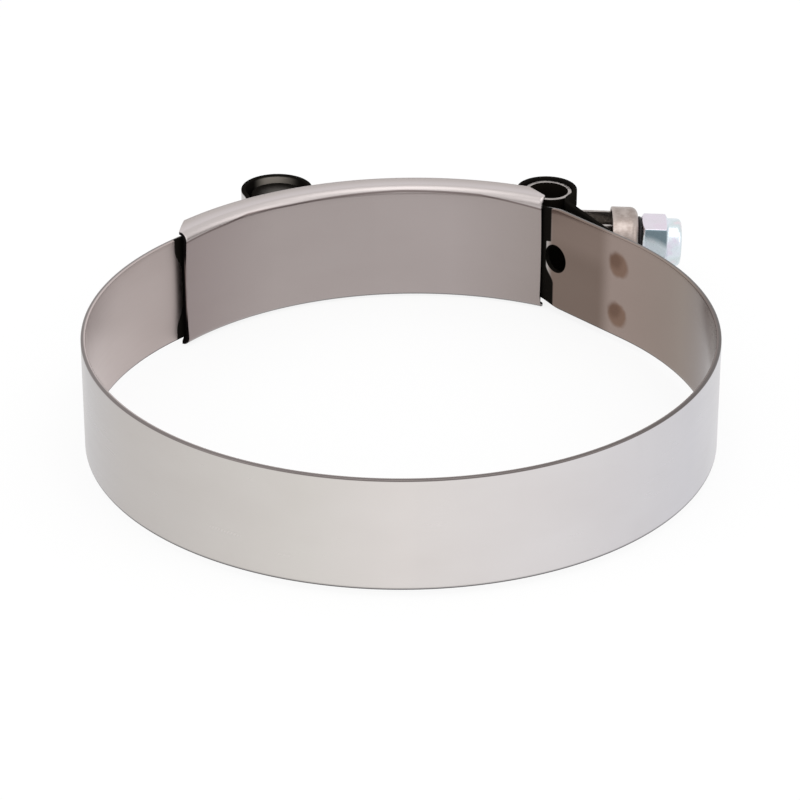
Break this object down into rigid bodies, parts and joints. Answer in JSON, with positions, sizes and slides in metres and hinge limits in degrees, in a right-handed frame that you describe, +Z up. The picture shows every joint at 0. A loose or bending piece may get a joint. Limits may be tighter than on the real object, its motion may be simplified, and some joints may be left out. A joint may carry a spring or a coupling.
{
  "type": "t-bolt hose clamp",
  "caption": "Round sheet steel hose clamp with looped ends, a floating bridge, a T-bolt, a trunnion and a lock nut that draws the loops together.",
  "frame": {"origin": "middle of the underside of the clamp's box, on the surface that it lies on", "axes": "+Z up along the ring's axis, +Y from the ring's middle towards the bolt, +X towards the nut"},
  "size_m": [0.1036, 0.1152, 0.0214],
  "materials": {
    "satin_steel": "satin rolled stainless sheet",
    "formed_steel": "satin pressed stainless sheet",
    "bolt_steel": "turned stainless bar with rolled thread",
    "zinc_plate": "bright zinc plating with a faint blue and pink cast",
    "black_oxide": "black oxide",
    "nylon": "translucent nylon"
  },
  "bodies": {
    "clamp": {"band": "satin_steel", "t_bolt": "bolt_steel", "trunnion": "formed_steel", "end_cap": "formed_steel"},
    "bridge": {"bridge": "satin_steel"},
    "washer": {"thrust_washer": "black_oxide"},
    "nut": {"lock_nut": "zinc_plate", "nylon_insert": "nylon"}
  },
  "joints": [
    {"name": "bridge_slide", "type": "hinge", "parent": "clamp", "child": "bridge", "pos_m": [0.00284, -0.00171, 0.0107], "axis": [0, 0, 1], "range_deg": [0, 6]},
    {"name": "nut_travel", "type": "slide", "parent": "clamp", "child": "washer", "axis": [0.9994, 0, -0.0349], "range_m": [0, 0.005]},
    {"name": "nut_spin", "type": "hinge", "parent": "washer", "child": "nut", "pos_m": [0.02569, 0.05134, 0.00969], "axis": [0.9994, 0, -0.0349], "range_deg": [0, 2268]}
  ],
  "couplings": [
    {"joint": "nut_spin", "follows": "nut_travel", "rad_per_m": 7913.3}
  ]
}
